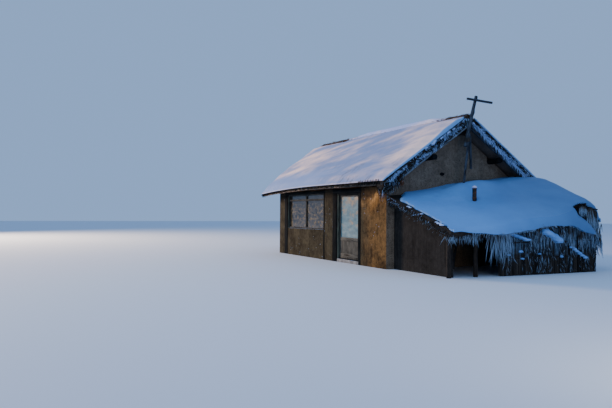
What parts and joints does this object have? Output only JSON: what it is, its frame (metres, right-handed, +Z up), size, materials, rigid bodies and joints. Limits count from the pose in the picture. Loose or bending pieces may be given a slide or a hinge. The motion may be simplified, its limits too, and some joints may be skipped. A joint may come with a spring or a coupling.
{
  "type": "thatched farmhouse",
  "caption": "Small earth-walled farmhouse with a snow-covered thatched gable roof, a lean-to shed at one end and a pole mast on the gable.",
  "frame": {"origin": "bottom centre of the whole object's bounding box, at ground level on the ridge line", "axes": "+X along the ridge towards the lean-to shed, the front with the door and the window faces -Y, +Z up"},
  "size_m": [10.95, 5.6, 4.7908],
  "materials": {
    "earth_front": "rough earth render mixed with straw, streaked",
    "earth_gable": "rough dark grey earth render",
    "floor_earth": "tamped earth",
    "sill_stone": "worn rough stone",
    "dark_timber": "dark weathered timber",
    "door_timber": "old brown paint worn to the grain",
    "pale_timber": "grey weathered timber",
    "pole_timber": "peeled round poles, weathered",
    "mast_timber": "nearly black weathered pole",
    "rope": "old straw rope",
    "reed": "dark matted reed with frosted ends",
    "stalks": "dry stalks and straw with hoar frost",
    "snow": "soft settled powder snow",
    "glass": "thin old window glass",
    "iron": "dark rusty iron"
  },
  "bodies": {
    "house": {"floor_slab": "floor_earth", "door_sill": "sill_stone", "front_wall_left": "earth_front", "front_wall_right": "earth_front", "front_wall_over_door": "earth_front", "back_wall": "earth_front", "gable_wall_left": "earth_gable", "gable_wall_right": "earth_gable", "shed_front_wall": "earth_gable", "window_surround": "dark_timber", "door_surround": "dark_timber", "door_frame": "dark_timber", "hinge_low_frame": "iron", "hinge_high_frame": "iron", "window_frame": "pale_timber", "window_glass": "glass", "back_window_frame_1": "pale_timber", "back_window_glass_1": "glass", "back_window_frame_2": "pale_timber", "back_window_glass_2": "glass", "ridge_purlin": "pole_timber", "purlin_front": "pole_timber", "purlin_back": "pole_timber", "wall_plate_front": "pole_timber", "wall_plate_back": "pole_timber", "roof_truss": "pole_timber", "rafters_front": "pole_timber", "rafters_back": "pole_timber", "verge_pole_front": "pole_timber", "verge_pole_back": "pole_timber", "thatch_front": "reed", "thatch_back": "reed", "ridge_roll": "reed", "snow_front_slope": "snow", "snow_back_slope": "snow", "snow_ridge": "snow", "shed_ledger": "pole_timber", "shed_eave_beam": "pole_timber", "shed_post_1": "pole_timber", "shed_post_2": "pole_timber", "shed_post_3": "pole_timber", "shed_post_4": "pole_timber", "shed_rafters": "pole_timber", "shed_thatch": "reed", "shed_snow": "snow", "shed_stalk_wall": "stalks", "shed_fringe": "stalks", "stovepipe": "iron", "mast_upper_pole": "mast_timber", "mast_prop_pole": "mast_timber", "mast_strut": "mast_timber", "mast_lashing": "rope", "mast_crossarm": "mast_timber"},
    "door": {"door_leaf": "door_timber", "door_glass": "glass", "door_handle": "iron", "hinge_low_leaf": "iron", "hinge_high_leaf": "iron"}
  },
  "joints": [
    {"name": "door_hinge", "type": "hinge", "parent": "house", "child": "door", "pos_m": [0.1435, -2.28, 0.42], "axis": [0, 0, 1], "range_deg": [0, 90]}
  ]
}
